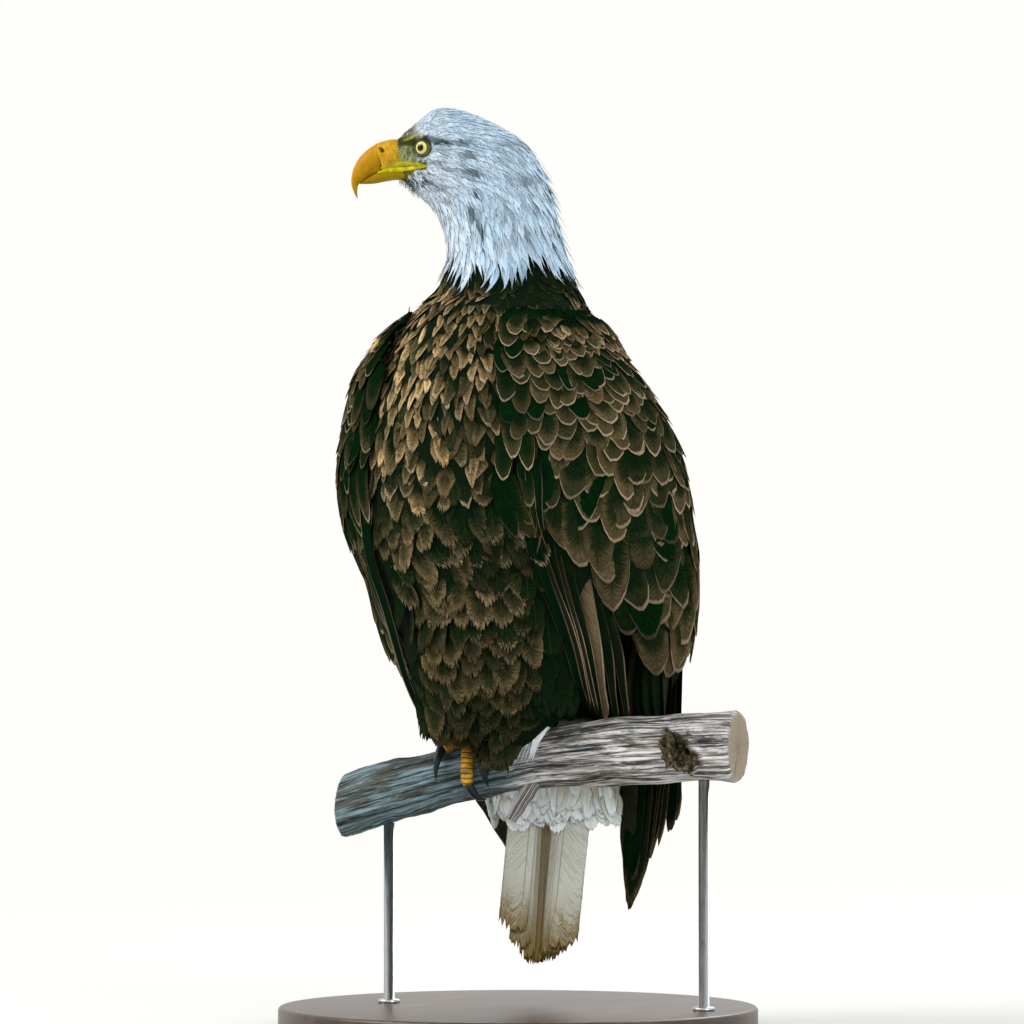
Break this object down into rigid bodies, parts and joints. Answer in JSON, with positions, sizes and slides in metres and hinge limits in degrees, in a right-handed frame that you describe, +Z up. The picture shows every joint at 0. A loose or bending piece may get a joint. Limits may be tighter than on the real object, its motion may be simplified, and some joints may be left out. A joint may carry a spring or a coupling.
{
  "type": "bald eagle model",
  "caption": "Life-size adult bald eagle, perched with folded wings and head turned to its right, on a cut length of branch held by a plain display stand.",
  "frame": {"origin": "middle of the underside of the stand's round base", "axes": "+Z up, -Y is where the bird's breast faces, +X is the bird's left"},
  "size_m": [0.48, 0.48, 0.9218],
  "materials": {
    "hood": "white head and neck feathers",
    "plumage": "dark brown body feathers with pale tips",
    "wing": "dark brown wing coverts with pale edges",
    "flight": "black-brown flight feathers",
    "tail": "white tail feathers with brown streaks",
    "bill": "orange-yellow horn",
    "cere": "yellow waxy skin",
    "foot": "yellow scaled skin",
    "claw": "black horn",
    "eye": "pale yellow iris under a clear cornea",
    "perch": "weathered bark and bare wood",
    "stand": "dark satin wood",
    "rod": "brushed"
  },
  "bodies": {
    "root": {"perch": "perch", "stand_base": "stand", "stand_rod_1": "rod", "stand_rod_2": "rod", "foot_left": "foot", "talon_left_1": "claw", "talon_left_2": "claw", "talon_left_3": "claw", "talon_left_4": "claw", "foot_right": "foot", "talon_right_1": "claw", "talon_right_2": "claw", "talon_right_3": "claw", "talon_right_4": "claw", "trunk": "plumage", "thigh_left": "plumage", "thigh_right": "plumage", "wing_left": "wing", "primaries_left": "flight", "secondaries_left": "flight", "wing_right": "wing", "primaries_right": "flight", "secondaries_right": "flight", "tail": "tail", "tail_coverts": "tail", "head": "hood", "neck": "hood", "cere": "cere", "bill_upper": "bill", "bill_lower": "bill", "eye_left": "eye", "eye_right": "eye"}
  },
  "joints": []
}
